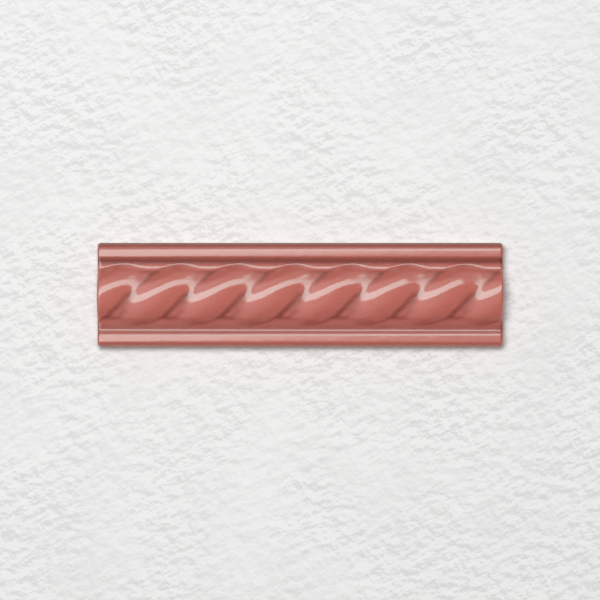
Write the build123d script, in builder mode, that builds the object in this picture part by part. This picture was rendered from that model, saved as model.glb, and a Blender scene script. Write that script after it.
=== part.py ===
from build123d import *
from math import cos, radians, sin, sqrt
import os

# A glazed ceramic rope moulding tile, lying face up on its back.
# X runs along the tile, Y across it and Z up through its thickness. The origin is the
# middle of the flat back. The tile is one pressed and fired piece: a body with a round
# bead along each long side, a shallow hollow beside each bead, and a raised rope of two
# strands on a rounded core. The back has shallow keying grooves for the adhesive.

# Driving dimensions, in millimetres

tile_length = 152.0
tile_width = 39.2
end_radius = 1.2  # the rounding up the corners and over the face along each end

bead_radius = 3.65  # the round bead along each long side
bead_height = 9.0  # from the back to the top of the bead
hollow_depth = 1.0  # from the top of the bead to the floor of the hollow
hollow_radius = 3.3  # the hollow's curve up into the bead
hollow_width = 1.55  # the flat floor between its two curves
foot_radius = 2.5  # the hollow's curve up into the core
core_rise = 3.8  # the core's crown above the hollow's floor, seen in the creases

rope_height = 13.8  # from the back to the crown of a strand
rope_radius = 12.0  # from the rope's own axis to the crown of a strand
rope_pitch = 42.8  # one full turn of the two strands
strand_offset = 2.1  # from the rope's axis to the middle of a strand's crown
shoulder_angle = 60.0  # degrees to each side of the crown, where the shoulder begins
shoulder_radius = 8.0  # the tighter curve from the crown down into the crease
crease_radius = 2.0  # the bottom of the crease between the strands
crease_shift = 0.4  # how far past the tile's middle a crease crosses its centre line

key_width = 3.2  # keying grooves in the back, open at both ends
key_depth = 0.8
key_spacing = 7.0
key_count = 4
key_flank_angle = 60.0  # degrees from the back

# The body's section: circles that touch one another, from the bead inward to the core

half_length = tile_length / 2
half_width = tile_width / 2
bead_y = half_width - bead_radius
bead_z = bead_height - bead_radius
floor_z = bead_height - hollow_depth
bead_reach = bead_radius + hollow_radius
hollow_rise = floor_z + hollow_radius - bead_z
hollow_run = sqrt(bead_reach**2 - hollow_rise**2)
hollow_y = bead_y - hollow_run
bead_end = (
    bead_y - hollow_run * bead_radius / bead_reach,
    bead_z + hollow_rise * bead_radius / bead_reach,
)

foot_y = hollow_y - hollow_width
core_radius = (foot_y**2 / core_rise + core_rise) / 2 - foot_radius
core_reach = core_radius + foot_radius
core_top = floor_z + core_rise
core_end = (
    foot_y * core_radius / core_reach,
    core_top - core_radius + (core_reach - core_rise) * core_radius / core_reach,
)

# The rope's section: each strand has a crown and two shoulders, and an arc fills the crease

rope_z = rope_height - rope_radius
crown_radius = rope_radius - strand_offset
bend = radians(shoulder_angle)
crown_x = strand_offset + crown_radius * cos(bend)
crown_y = crown_radius * sin(bend)
shoulder_x = strand_offset + (crown_radius - shoulder_radius) * cos(bend)
shoulder_y = (crown_radius - shoulder_radius) * sin(bend)
crease_reach = shoulder_radius + crease_radius
crease_rise = sqrt(crease_reach**2 - shoulder_x**2)
crease_floor = shoulder_y + crease_rise - crease_radius
touch_x = shoulder_x * crease_radius / crease_reach
touch_y = shoulder_y + crease_rise * shoulder_radius / crease_reach

# The body: half of the cross-section is drawn, mirrored and extruded along the tile

with BuildPart() as body:
    with BuildSketch(Plane.YZ.offset(-half_length)):
        with BuildLine():
            Line((0, 0), (half_width, 0))
            Line((half_width, 0), (half_width, bead_z))
            bead = ThreePointArc((half_width, bead_z), (bead_y, bead_height), bead_end)
            hollow = TangentArc(bead @ 1, (hollow_y, floor_z), tangent=bead % 1)
            floor = Line(hollow @ 1, (foot_y, floor_z))
            foot = TangentArc(floor @ 1, core_end, tangent=floor % 1)
            core = TangentArc(foot @ 1, (0, core_top), tangent=foot % 1)
            Line(core @ 1, (0, 0))
        make_face()
        mirror(about=Plane.YZ)
    extrude(amount=tile_length)
    fillet(body.edges().filter_by(Axis.Z), end_radius)

# The rope: two strands twisted along the tile and rounded at its ends

crease_angle = radians(360 * (half_length + crease_shift) / rope_pitch)
rope_start = Plane(
    origin=(-half_length, 0, rope_z),
    x_dir=(0, cos(crease_angle), sin(crease_angle)),
    z_dir=(1, 0, 0),
)

with BuildPart() as rope:
    with BuildLine() as rope_axis:
        Line((-half_length, 0, rope_z), (half_length, 0, rope_z))
    with BuildLine() as twist:
        Helix(
            pitch=rope_pitch,
            height=tile_length,
            radius=rope_radius,
            center=(-half_length, 0, rope_z),
            direction=(1, 0, 0),
            lefthand=True,
        )
    with BuildSketch(rope_start):
        with BuildLine():
            for side in (1, -1):
                crown_start = (side * crown_x, -side * crown_y)
                crown_end = (side * crown_x, side * crown_y)
                crown = ThreePointArc(crown_start, (side * rope_radius, 0), crown_end)
                near = TangentArc(crown @ 1, (side * touch_x, side * touch_y), tangent=crown % 1)
                crease = ThreePointArc(near @ 1, (0, side * crease_floor), (-side * touch_x, side * touch_y))
                TangentArc(crease @ 1, (-side * crown_x, side * crown_y), tangent=crease % 1)
        make_face()
    sweep(path=rope_axis.line, binormal=twist.edge())
    fillet(rope.faces().filter_by(Axis.X).edges(), end_radius)
    split(bisect_by=Plane.XY.offset(floor_z / 2))

# The tile: body and rope in one, with the keying grooves cut into the back

with BuildPart() as tile:
    add(body.part)
    add(rope.part)
    with BuildSketch(Plane.YZ.offset(-half_length)):
        with GridLocations(key_spacing, 0, key_count, 1):
            Trapezoid(key_width, key_depth, key_flank_angle, align=(Align.CENTER, Align.MIN))
    extrude(amount=tile_length, mode=Mode.SUBTRACT)

tile.part.label = "rope_moulding_tile"
os.makedirs("parts", exist_ok=True)
export_step(tile.part, "parts/rope_moulding_tile.step")
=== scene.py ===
from math import atan2, cos, pi, radians, sin, sqrt, tan

import bmesh
import bpy
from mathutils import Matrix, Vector


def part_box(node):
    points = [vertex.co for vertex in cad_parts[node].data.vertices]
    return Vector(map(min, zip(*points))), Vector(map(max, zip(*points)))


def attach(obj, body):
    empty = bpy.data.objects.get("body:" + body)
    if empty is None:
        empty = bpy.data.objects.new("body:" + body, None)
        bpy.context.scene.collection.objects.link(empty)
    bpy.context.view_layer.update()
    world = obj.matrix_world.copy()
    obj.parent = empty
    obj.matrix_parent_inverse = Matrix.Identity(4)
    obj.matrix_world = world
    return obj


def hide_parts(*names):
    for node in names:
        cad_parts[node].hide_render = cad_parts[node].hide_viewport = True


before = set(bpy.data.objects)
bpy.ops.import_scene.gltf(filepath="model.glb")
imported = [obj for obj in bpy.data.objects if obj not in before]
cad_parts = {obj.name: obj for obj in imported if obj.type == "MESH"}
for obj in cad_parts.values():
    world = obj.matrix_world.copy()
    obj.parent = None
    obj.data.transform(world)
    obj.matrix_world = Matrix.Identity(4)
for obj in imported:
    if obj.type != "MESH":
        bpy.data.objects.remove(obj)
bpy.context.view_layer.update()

mm = 0.001
tileLow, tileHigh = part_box("rope_moulding_tile")
print("frame loaded, tile", [round(side / mm, 1) for side in tileHigh - tileLow], "mm")


def clamp(value, low, high):
    return max(low, min(high, value))


def ease(value, start, end):
    t = clamp((value - start) / (end - start), 0.0, 1.0)
    return t * t * (3 - 2 * t)


def softMax(a, b, blend):
    # the higher of two heights, with a rounded inner corner
    h = clamp(0.5 + 0.5 * (a - b) / blend, 0.0, 1.0)
    return b + (a - b) * h + blend * h * (1 - h)


class Num:
    # a number in a material, so that sums of sockets are written as sums

    def __init__(self, tree, socket):
        self.tree = tree
        self.socket = socket

    def work(self, operation, *parts):
        node = self.tree.nodes.new("ShaderNodeMath")
        node.operation = operation
        for slot, part in zip(node.inputs, parts):
            if isinstance(part, Num):
                self.tree.links.new(part.socket, slot)
            else:
                slot.default_value = part
        return Num(self.tree, node.outputs[0])

    def __add__(self, other):
        return self.work("ADD", self, other)

    def __radd__(self, other):
        return self.work("ADD", other, self)

    def __sub__(self, other):
        return self.work("SUBTRACT", self, other)

    def __rsub__(self, other):
        return self.work("SUBTRACT", other, self)

    def __mul__(self, other):
        return self.work("MULTIPLY", self, other)

    def __rmul__(self, other):
        return self.work("MULTIPLY", other, self)

    def __truediv__(self, other):
        return self.work("DIVIDE", self, other)

    def __neg__(self):
        return self.work("MULTIPLY", self, -1.0)

    def between(self, low, high):
        return self.work("MINIMUM", self.work("MAXIMUM", self, low), high)

    def root(self):
        return self.work("SQRT", self)

    def bell(self, middle, reach):
        # 1 at the middle, fading to nothing at about twice the reach
        away = (self - middle) / reach
        return self.work("EXPONENT", -(away * away))


class Finish:
    # the nodes of a material or of the world

    def __init__(self, owner):
        owner.use_nodes = True
        self.owner = owner
        self.tree = owner.node_tree
        self.tree.nodes.clear()

    def node(self, kind, settings, sockets):
        made = self.tree.nodes.new(kind)
        for name, value in settings.items():
            setattr(made, name, value)
        for name, value in sockets.items():
            if isinstance(value, Num):
                value = value.socket
            if isinstance(value, bpy.types.NodeSocket):
                self.tree.links.new(value, made.inputs[name])
            else:
                made.inputs[name].default_value = value
        return made

    def num(self, node, output=0):
        return Num(self.tree, node.outputs[output])

    def noise(self, place, scale, detail=2.0):
        # evenly spread around zero
        sockets = {"Vector": place, "Scale": scale, "Detail": detail}
        return self.num(self.node("ShaderNodeTexNoise", {}, sockets)) - 0.5

    def fade(self, value, start, end):
        settings = {"interpolation_type": "SMOOTHSTEP"}
        sockets = {"Value": value, "From Min": start, "From Max": end}
        return self.num(self.node("ShaderNodeMapRange", settings, sockets))

    def mix(self, factor, first, second):
        # colours go from the first to the second
        sockets = {0: factor, 6: first, 7: second}
        return self.node("ShaderNodeMix", {"data_type": "RGBA"}, sockets).outputs[2]

    def turned(self, place, angle, stretch):
        settings = {"vector_type": "TEXTURE"}
        sockets = {"Vector": place, "Rotation": (0, 0, radians(angle)), "Scale": stretch}
        return self.node("ShaderNodeMapping", settings, sockets).outputs[0]


# The tile, in millimetres and degrees, with the sizes of the part's own source
tile = {
    "length": 152.0,
    "width": 39.2,
    "endRadius": 1.2,
    "beadRadius": 3.65,
    "beadHeight": 9.0,
    "hollowRadius": 3.3,
    "hollowDepth": 1.0,
    "hollowWidth": 1.55,
    "footRadius": 2.5,
    "coreRise": 3.8,
    "ropeHeight": 13.8,
    "ropeRadius": 12.0,
    "pitch": 42.8,
    "strandOffset": 2.1,
    "shoulderAngle": 60.0,
    "shoulderRadius": 8.0,
    "creaseRadius": 2.0,
    "creaseAt": 0.4,
    "keyWidth": 3.2,
    "keyDepth": 0.8,
    "keySpacing": 7.0,
    "keys": 4,
    "keyFlank": 60.0,
    # only in the scene: glaze and casting round the line where a strand meets the core
    "creaseSoft": 1.1,
    "footSoft": 3.6,        # and round it more where the rope runs out into the hollow
    "softRange": (6.0, 11.0),
    # the mesh
    "stations": 340,
    "endSteps": 7,
    "beadSteps": 12,
    "faceSteps": 64,
    "sideSteps": 6,
    "slopeStep": 0.05,
    "atSide": 0.001,        # nearer to the side than this counts as on it
    "arcSlack": 0.000001,   # no gap opens between two arcs of the section
    "weld": 0.0001,
    "sharpAngle": 35.0,
    # where glaze pools and painted shade darkens the creases
    "poolAndShadeReach": 2.2,
    "poolAndShadeNone": -1.0,
}


def bodyHeight(u):
    # bead, hollow, flat floor, foot and core, from the distance to the middle line
    bead, hollow = tile["beadRadius"], tile["hollowRadius"]
    foot, rise = tile["footRadius"], tile["coreRise"]
    beadY = tile["width"] / 2 - bead
    beadZ = tile["beadHeight"] - bead
    floor = tile["beadHeight"] - tile["hollowDepth"]
    up = floor + hollow - beadZ
    run = sqrt((bead + hollow) ** 2 - up ** 2)
    hollowY = beadY - run
    if u > beadY - run * bead / (bead + hollow):
        return beadZ + sqrt(max(bead ** 2 - (u - beadY) ** 2, 0.0))
    if u > hollowY:
        return floor + hollow - sqrt(hollow ** 2 - (u - hollowY) ** 2)
    footY = hollowY - tile["hollowWidth"]
    core = (footY ** 2 / rise + rise) / 2 - foot
    if u > footY:
        return floor
    if u > footY * core / (core + foot):
        return floor + foot - sqrt(foot ** 2 - (u - footY) ** 2)
    return floor + rise - core + sqrt(core ** 2 - u ** 2)


def ropeArcs():
    # the rope's section: centre, radius, middle direction, half opening, and bulging or hollow
    offset, shoulder = tile["strandOffset"], tile["shoulderRadius"]
    crown = tile["ropeRadius"] - offset
    bend = radians(tile["shoulderAngle"])
    sideX = offset + (crown - shoulder) * cos(bend)
    sideY = (crown - shoulder) * sin(bend)
    crease = tile["creaseRadius"]
    reach = sideY + sqrt((shoulder + crease) ** 2 - sideX ** 2)
    turned = atan2(reach - sideY, -sideX)
    arcs = []
    for half in (1, -1):
        facing = 0.0 if half == 1 else pi
        arcs.append((half * offset, 0.0, crown, facing, bend, 1))
        for side in (1, -1):
            middle = facing + side * (bend + turned) / 2
            opening = (turned - bend) / 2
            arcs.append((half * sideX, side * half * sideY, shoulder, middle, opening, 1))
        arcs.append((0.0, half * reach, crease, facing - pi / 2, atan2(sideX, reach - sideY), -1))
    return arcs


ropeSection = ropeArcs()


def ropeHeight(x, y):
    # the section's arcs turn with x, and the highest one at y counts
    turn = 2 * pi * (x - tile["creaseAt"]) / tile["pitch"] + pi / 2
    across, up = sin(turn), cos(turn)
    height = -tile["ropeHeight"]
    for a, b, radius, middle, opening, bulge in ropeSection:
        t = (y - a * across - b * up) / radius
        if abs(t) < 1:
            rise = bulge * sqrt(1 - t * t)
            along = t * across + rise * up
            beside = t * up - rise * across
            if along * cos(middle) + beside * sin(middle) > cos(opening) - tile["arcSlack"]:
                height = max(height, a * up - b * across + radius * rise)
    return tile["ropeHeight"] - tile["ropeRadius"] + height


def faceHeight(x, y):
    outward = ease(abs(y), *tile["softRange"])
    blend = tile["creaseSoft"] + (tile["footSoft"] - tile["creaseSoft"]) * outward
    return softMax(ropeHeight(x, y), bodyHeight(abs(y)), blend)


def poolAndShadeDepth(x, y):
    # how far the face lies below what is around it, where glaze pools and shade is painted into the
    # colour
    reach = tile["poolAndShadeReach"]
    around = faceHeight(x - reach, y) + faceHeight(x + reach, y)
    around += faceHeight(x, y - reach) + faceHeight(x, y + reach)
    return around / 4 - faceHeight(x, y)


def outlineRows():
    # once round the section: the face from +Y to -Y, one side, the grooved back, the other side
    half, bead = tile["width"] / 2, tile["beadRadius"]
    beadY = half - bead
    steps = tile["beadSteps"]
    outer = [beadY + bead * cos(pi / 2 * k / steps) for k in range(steps)]
    steps = tile["faceSteps"]
    inner = [beadY * (1 - k / steps) for k in range(2 * steps + 1)]
    rows = [("face", y, None) for y in outer + inner + [-y for y in reversed(outer)]]
    low = tile["beadHeight"] - bead
    sides = [low * k / tile["sideSteps"] for k in range(1, tile["sideSteps"])]
    rows += [("side", -half, z) for z in reversed(sides)]
    rows.append(("corner", -half, 0.0))
    lip, deep = tile["keyWidth"] / 2, tile["keyDepth"]
    root = lip - deep / tan(radians(tile["keyFlank"]))
    for k in range(tile["keys"]):
        keyY = (k - (tile["keys"] - 1) / 2) * tile["keySpacing"]
        for y, z in ((-lip, 0.0), (-root, deep), (root, deep), (lip, 0.0)):
            rows.append(("back", keyY + y, z))
    rows.append(("corner", half, 0.0))
    rows += [("side", half, z) for z in sides]
    return rows


def stationList():
    # places along the tile, and how far the rounding has drawn the outline in at each
    half, radius, steps = tile["length"] / 2, tile["endRadius"], tile["endSteps"]
    bends = [pi / 2 * k / steps for k in range(steps, 0, -1)]
    ends = [(half - radius * (1 - sin(a)), radius * (1 - cos(a))) for a in bends]
    inner, count = half - radius, tile["stations"]
    plain = [(inner - 2 * inner * k / count, 0.0) for k in range(count + 1)]
    return ends + plain + [(-x, drawn) for x, drawn in reversed(ends)]


def outlinePoint(x, drawn, row):
    # a point of the section at x, drawn in square to the outline
    kind, y, z = row
    inward = drawn if y < 0 else -drawn
    if kind == "back":
        return y, z
    if kind in ("corner", "side"):
        return y + inward, z
    z = faceHeight(x, y)
    if drawn == 0:
        return y, z
    room = tile["width"] / 2 - abs(y)
    if room < tile["atSide"]:
        return y + inward, z
    step = min(tile["slopeStep"], room)
    slope = (faceHeight(x, y + step) - faceHeight(x, y - step)) / (2 * step)
    size = sqrt(1 + slope * slope)
    return y + drawn * slope / size, z - drawn / size


def makeTile():
    # a grid wrapped round the section, its open ends closed
    bm = bmesh.new()
    rows, stations = outlineRows(), stationList()
    turns, length = len(rows), len(stations) - 1
    bmesh.ops.create_grid(bm, x_segments=length, y_segments=turns, size=0.5)
    poolAndShade = bm.verts.layers.float.new("poolAndShade")
    for v in bm.verts:
        x, drawn = stations[round((v.co.x + 0.5) * length)]
        row = rows[round((v.co.y + 0.5) * turns) % turns]
        y, z = outlinePoint(x, drawn, row)
        v.co = Vector((x, y, z)) * mm
        # no pooled glaze or painted shade on the sides and the cut ends
        moulded = row[0] == "face" and drawn == 0
        v[poolAndShade] = poolAndShadeDepth(x, row[1]) if moulded else tile["poolAndShadeNone"]
    bmesh.ops.remove_doubles(bm, verts=bm.verts, dist=tile["weld"] * mm)
    bmesh.ops.holes_fill(bm, edges=[e for e in bm.edges if e.is_boundary], sides=0)
    bmesh.ops.triangulate(bm, faces=[f for f in bm.faces if len(f.verts) > 4])
    bmesh.ops.recalc_face_normals(bm, faces=bm.faces)
    for f in bm.faces:
        f.smooth = True
    for e in bm.edges:
        e.smooth = e.calc_face_angle(0.0) < radians(tile["sharpAngle"])
    mesh = bpy.data.meshes.new("glazed_rope_tile")
    bm.to_mesh(mesh)
    bm.free()
    piece = bpy.data.objects.new("glazed_rope_tile", mesh)
    bpy.context.scene.collection.objects.link(piece)
    return piece


# Coral glaze: one clear colour, darker where it gathers and where shade is painted into the creases
# and hollows, on a pale fired body.
# Places across the tile and reaches are in millimetres, leans in degrees, and a noise is a scale
# and a detail.
glaze = {
    "colour": (0.46, 0.133, 0.105),
    # the dark of pooled glaze, also used to paint shade into the creases and hollows
    "deep": (0.17, 0.036, 0.026),
    "ior": 1.6,
    "roughness": 0.09,
    # less sharp on the crowns of the beads and in the hollows: place, reach, added roughness
    "soft": (
        (15.75, 1.6, 0.12), (6.2, 2.0, 0.07), (-16.15, 1.6, 0.12),
        (12.0, 1.6, 0.04), (-12.9, 0.9, 0.1),
    ),
    # pooled glaze and painted shade in the creases, from this depth to that, but not in the hollows
    "poolAndShade": (-0.15, 0.22),
    "poolAndShadeMost": 0.76,
    "poolAndShadeEnds": (8.0, 9.6),
    # along the rope's crest the creases are cleared: place, reach, share
    "crest": (2.6, 1.8, 0.9),
    "matt": 0.4,                    # off the crest they are less sharp
    "mattAbove": (2.5, 4.5),
    "mattBelow": (-0.4, 1.4),
    # darker bands along the tile: place, reach, darkness. Those in the hollows and along the outer
    # edges are pooled glaze and painted shade, darkest in the upper hollow and along the upper
    # edge; faint ones lie on the bead crowns
    "gatheredAndShaded": (
        (19.8, 1.8, 0.85), (15.9, 2.6, 0.14), (12.7, 1.4, 1.0),
        (-11.9, 2.6, 0.6), (-15.9, 2.6, 0.14), (-19.6, 1.3, 0.5),
    ),
    "face": (4.0, 6.5),             # heights where the cut ends pass into the moulded face
    "mottle": (0.35, 3.0),
    "mottleDark": 0.2,
    # brush strokes
    "strokeAngle": 20.0,
    "strokeStretch": (9.0, 0.8, 9.0),
    "stroke": (1.0, 2.0),
    "strokeDark": 0.3,
    # unevenness of the glazed face
    "wave": (0.16, 1.0),
    "waveDepth": 0.08,
    "ripple": (0.6, 2.0),
    "rippleDepth": 0.02,
    # the crowns of the beads, wiped to a lean of the upper and of the lower one
    "crownLean": (5.5, 7.9),
    "crownLow": -25.0,
    "runLine": (-13.2, 0.8, 0.1),   # a fine dent in the lower hollow: place, reach, depth
    # the fired body, bare up to this height above the back
    "body": (0.62, 0.47, 0.38),
    "bodyDark": (0.53, 0.4, 0.32),
    "bodyRoughness": 0.85,
    "grain": (3.0, 5.0),
    "grainDepth": 0.1,
    "bareTo": (0.7, 0.9),
    "edge": (0.25, 4.0),
    "edgeWander": 0.9,
}


def wipedCrown(y, side, lean):
    # the rise that turns the round crown of a bead into a flat that leans
    bead, low, lean = tile["beadRadius"], radians(glaze["crownLow"]), radians(lean)
    off = (y - side * (tile["width"] / 2 - bead)).between(bead * sin(low), bead * sin(lean))
    return bead - (bead * bead - off * off).root() - off * tan(lean)


def makeGlaze():
    f = Finish(bpy.data.materials.new("coral_glaze"))
    place = f.node("ShaderNodeTexCoord", {}, {}).outputs["Object"]
    settings = {"operation": "SCALE"}
    place = f.node("ShaderNodeVectorMath", settings, {0: place, "Scale": 1 / mm}).outputs[0]
    strokes = f.turned(place, glaze["strokeAngle"], glaze["strokeStretch"])
    axes = f.node("ShaderNodeSeparateXYZ", {}, {0: place})
    y, z = f.num(axes, "Y"), f.num(axes, "Z")
    poolAndShade = f.num(f.node("ShaderNodeAttribute", {"attribute_name": "poolAndShade"}, {}), "Fac")
    face = f.fade(z, *glaze["face"])

    # painted shade and pooled glaze: darker the deeper a crease lies below its surroundings
    dark = f.fade(poolAndShade, *glaze["poolAndShade"]) * glaze["poolAndShadeMost"]
    dark = dark * (1 - f.fade(y.work("ABSOLUTE", y), *glaze["poolAndShadeEnds"]))
    middle, reach, cleared = glaze["crest"]
    dark = dark * (1 - y.bell(middle, reach) * cleared)
    offCrest = f.fade(y, *glaze["mattAbove"]) + f.fade(-y, *glaze["mattBelow"])
    matt = dark * offCrest * glaze["matt"]
    # painted shade and pooled glaze, in bands along the tile
    for middle, reach, depth in glaze["gatheredAndShaded"]:
        dark = dark + y.bell(middle, reach) * depth * face
    dark = dark + f.noise(place, *glaze["mottle"]) * glaze["mottleDark"]
    dark = (dark + f.noise(strokes, *glaze["stroke"]) * glaze["strokeDark"]).between(0.0, 1.0)
    colour = f.mix(dark, (*glaze["colour"], 1), (*glaze["deep"], 1))

    edge = z + f.noise(place, *glaze["edge"]) * glaze["edgeWander"]
    bare = 1 - f.fade(edge, *glaze["bareTo"])
    grain = f.noise(place, *glaze["grain"])
    body = f.mix(grain + 0.5, (*glaze["body"], 1), (*glaze["bodyDark"], 1))
    colour = f.mix(bare, colour, body)

    roughness = glaze["roughness"] + bare * (glaze["bodyRoughness"] - glaze["roughness"]) + matt
    for middle, reach, added in glaze["soft"]:
        roughness = roughness + y.bell(middle, reach) * added

    relief = f.noise(place, *glaze["wave"]) * glaze["waveDepth"]
    relief = relief + f.noise(strokes, *glaze["ripple"]) * glaze["rippleDepth"]
    for side, lean in zip((1, -1), glaze["crownLean"]):
        relief = relief + wipedCrown(y, side, lean) * face
    middle, reach, depth = glaze["runLine"]
    relief = relief - y.bell(middle, reach) * depth + bare * grain * glaze["grainDepth"]
    bump = f.node("ShaderNodeBump", {}, {"Height": relief, "Distance": mm, "Strength": 1.0})

    sockets = {"Base Color": colour, "Roughness": roughness, "IOR": glaze["ior"]}
    sockets["Normal"] = bump.outputs[0]
    shader = f.node("ShaderNodeBsdfPrincipled", {}, sockets)
    f.node("ShaderNodeOutputMaterial", {}, {"Surface": shader.outputs[0]})
    return f.owner


piece = makeTile()
piece.data.materials.append(makeGlaze())
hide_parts("rope_moulding_tile")
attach(piece, "root")
print("tile made,", len(piece.data.polygons), "faces")

# Plaster floor, off-white and slightly uneven, in metres. A noise is a scale and a detail.
plaster = {
    "size": 2.0,
    "colour": (0.94, 0.94, 0.935),
    "shade": (0.79, 0.79, 0.785),
    "roughness": 0.9,
    "specular": 0.0,
    "trowel": (30.0, 3.0),
    "grain": (260.0, 8.0),
    "grainAngle": 30.0,
    "grainStretch": (1.35, 1.0, 1.0),
    "shift": (0.0002, 0.0006, 0.0),     # towards the light, where a rise of the grain casts shade
    # smoother and rougher patches
    "patches": (24.0, 3.0),
    "patchRange": (-0.12, 0.15),
    "patchLeast": 0.4,
    "pits": (420.0, 2.0),
    "pitRange": (0.2, 0.26),
    # how much each darkens the plaster; the grain's share is painted shade of its relief
    "plainShade": 0.3,
    "trowelShade": 0.9,
    "grainShade": 10.0,
    "pitShade": 0.5,
    # how much they raise it, in millimetres
    "trowelRise": 1.5,
    "grainRise": 0.225,
}


def makeFloor():
    bm = bmesh.new()
    bmesh.ops.create_grid(bm, x_segments=1, y_segments=1, size=plaster["size"])
    mesh = bpy.data.meshes.new("floor")
    bm.to_mesh(mesh)
    bm.free()
    floor = bpy.data.objects.new("floor", mesh)
    bpy.context.scene.collection.objects.link(floor)
    floor.data.materials.append(makePlaster())


def makePlaster():
    f = Finish(bpy.data.materials.new("white_plaster"))
    place = f.node("ShaderNodeTexCoord", {}, {}).outputs["Object"]
    sockets = {0: place, 1: plaster["shift"]}
    shifted = f.node("ShaderNodeVectorMath", {"operation": "ADD"}, sockets).outputs[0]
    grain, beside = [
        f.noise(f.turned(spot, plaster["grainAngle"], plaster["grainStretch"]), *plaster["grain"])
        for spot in (place, shifted)
    ]
    trowel = f.noise(place, *plaster["trowel"])
    rough = f.fade(f.noise(place, *plaster["patches"]), *plaster["patchRange"])
    rough = rough + plaster["patchLeast"]
    pits = f.fade(f.noise(place, *plaster["pits"]), *plaster["pitRange"])

    shade = plaster["plainShade"] + trowel * plaster["trowelShade"]
    # painted shade: the grain is darkened where a rise towards the light would shade it
    shade = shade + (beside - grain) * rough * plaster["grainShade"]
    shade = (shade + pits * plaster["pitShade"]).between(0.0, 1.0)
    colour = f.mix(shade, (*plaster["colour"], 1), (*plaster["shade"], 1))
    relief = trowel * plaster["trowelRise"] + grain * plaster["grainRise"]
    bump = f.node("ShaderNodeBump", {}, {"Height": relief, "Distance": mm})

    sockets = {"Base Color": colour, "Roughness": plaster["roughness"], "Normal": bump.outputs[0]}
    sockets["Specular IOR Level"] = plaster["specular"]
    shader = f.node("ShaderNodeBsdfPrincipled", {}, sockets)
    f.node("ShaderNodeOutputMaterial", {}, {"Surface": shader.outputs[0]})
    return f.owner


makeFloor()
print("floor made")

# Lamps: lean and span are those of the surface that mirrors the lamp, in degrees, first along
# the tile and then across it. A lamp stands away metres from the tile's middle.
lamps = {
    "softbox": {
        "lean": (-5.9, 11.4), "span": (42.2, 14.2), "away": 0.38, "glow": 5.0,
        "colour": (0.62, 1.0, 0.98), "mirrored": True, "tileOnly": True,
    },
    "overhead": {
        "lean": (-2.5, 4.6), "span": (11.5, 11.5), "away": 1.2, "glow": 15.9,
        "colour": (1.0, 1.0, 1.0), "mirrored": False, "tileOnly": False,
    },
    "low_fill": {
        "lean": (0.0, -12.0), "span": (14.0, 14.0), "away": 1.2, "glow": 3.8,
        "colour": (1.0, 1.0, 1.0), "mirrored": False, "tileOnly": True,
    },
}
# The room: its light on matt things, what the camera sees behind them, and the glow that the
# glaze mirrors, stronger to the top and to the left, where a window is, and gone low down
room = {
    "light": 0.15,
    "backdrop": 0.85,
    "glow": 0.5,
    "left": 0.95,
    "top": 0.45,
    "window": 1.6,
    "most": 4.0,
    "horizon": (0.15, 0.5),
}


def makeLamp(name, lamp):
    leanX, leanY = [radians(2 * angle) for angle in lamp["lean"]]
    away = Vector((tan(leanX), tan(leanY), 1.0)).normalized()
    data = bpy.data.lights.new(name, "AREA")
    data.shape = "RECTANGLE"
    data.size, data.size_y = [2 * lamp["away"] * tan(radians(angle)) for angle in lamp["span"]]
    data.energy = lamp["glow"] * pi * data.size * data.size_y
    data.color = lamp["colour"]
    made = bpy.data.objects.new(name, data)
    made.location = away * lamp["away"]
    made.rotation_mode = "QUATERNION"
    made.rotation_quaternion = away.to_track_quat("Z", "Y")
    made.visible_camera = False
    made.visible_diffuse = not lamp["mirrored"]
    made.visible_glossy = lamp["mirrored"]
    if lamp["tileOnly"]:
        lit = bpy.data.collections.new(name)
        lit.objects.link(piece)
        made.light_linking.receiver_collection = lit
    bpy.context.scene.collection.objects.link(made)


def makeRoom():
    f = Finish(bpy.data.worlds.new("room"))
    axes = f.node("ShaderNodeSeparateXYZ", {}, {0: f.node("ShaderNodeTexCoord", {}, {}).outputs[0]})
    x, y, z = f.num(axes, 0), f.num(axes, 1), f.num(axes, 2)
    left = (-x).between(0.0, 1.0)
    glow = room["glow"] - x * room["left"] + y * room["top"] + left * left * room["window"]
    glow = glow.between(0.0, room["most"]) * f.fade(z, *room["horizon"])
    path = f.node("ShaderNodeLightPath", {}, {})
    seen, mirrored = f.num(path, "Is Camera Ray"), f.num(path, "Is Glossy Ray")
    strength = seen * room["backdrop"] + mirrored * glow + (1 - seen - mirrored) * room["light"]
    background = f.node("ShaderNodeBackground", {}, {"Color": (1, 1, 1, 1), "Strength": strength})
    f.node("ShaderNodeOutputWorld", {}, {"Surface": background.outputs[0]})
    bpy.context.scene.world = f.owner


for name, lamp in lamps.items():
    makeLamp(name, lamp)
makeRoom()
print("lamps made")

# Camera straight above; centre is where the tile's middle falls in the picture, and tilePixels
# is the tile's length there
photo = {
    "pixels": 600,
    "tilePixels": 407.4,
    "centre": (300.3, 294.95),
    "above": 1.4,
    "sensor": 36.0,
    "clip": (0.05, 10.0),
}


def makeCamera():
    pixel = tile["length"] / photo["tilePixels"] * mm
    data = bpy.data.cameras.new("camera")
    data.sensor_width = photo["sensor"]
    data.lens = photo["sensor"] * photo["above"] / (photo["pixels"] * pixel)
    data.clip_start, data.clip_end = photo["clip"]
    camera = bpy.data.objects.new("camera", data)
    half = photo["pixels"] / 2
    x = (half - photo["centre"][0]) * pixel
    y = (photo["centre"][1] - half) * pixel
    camera.location = (x, y, tileHigh.z + photo["above"])
    bpy.context.scene.collection.objects.link(camera)
    bpy.context.scene.camera = camera


makeCamera()
bpy.context.scene.view_settings.view_transform = "Standard"
print("camera made")
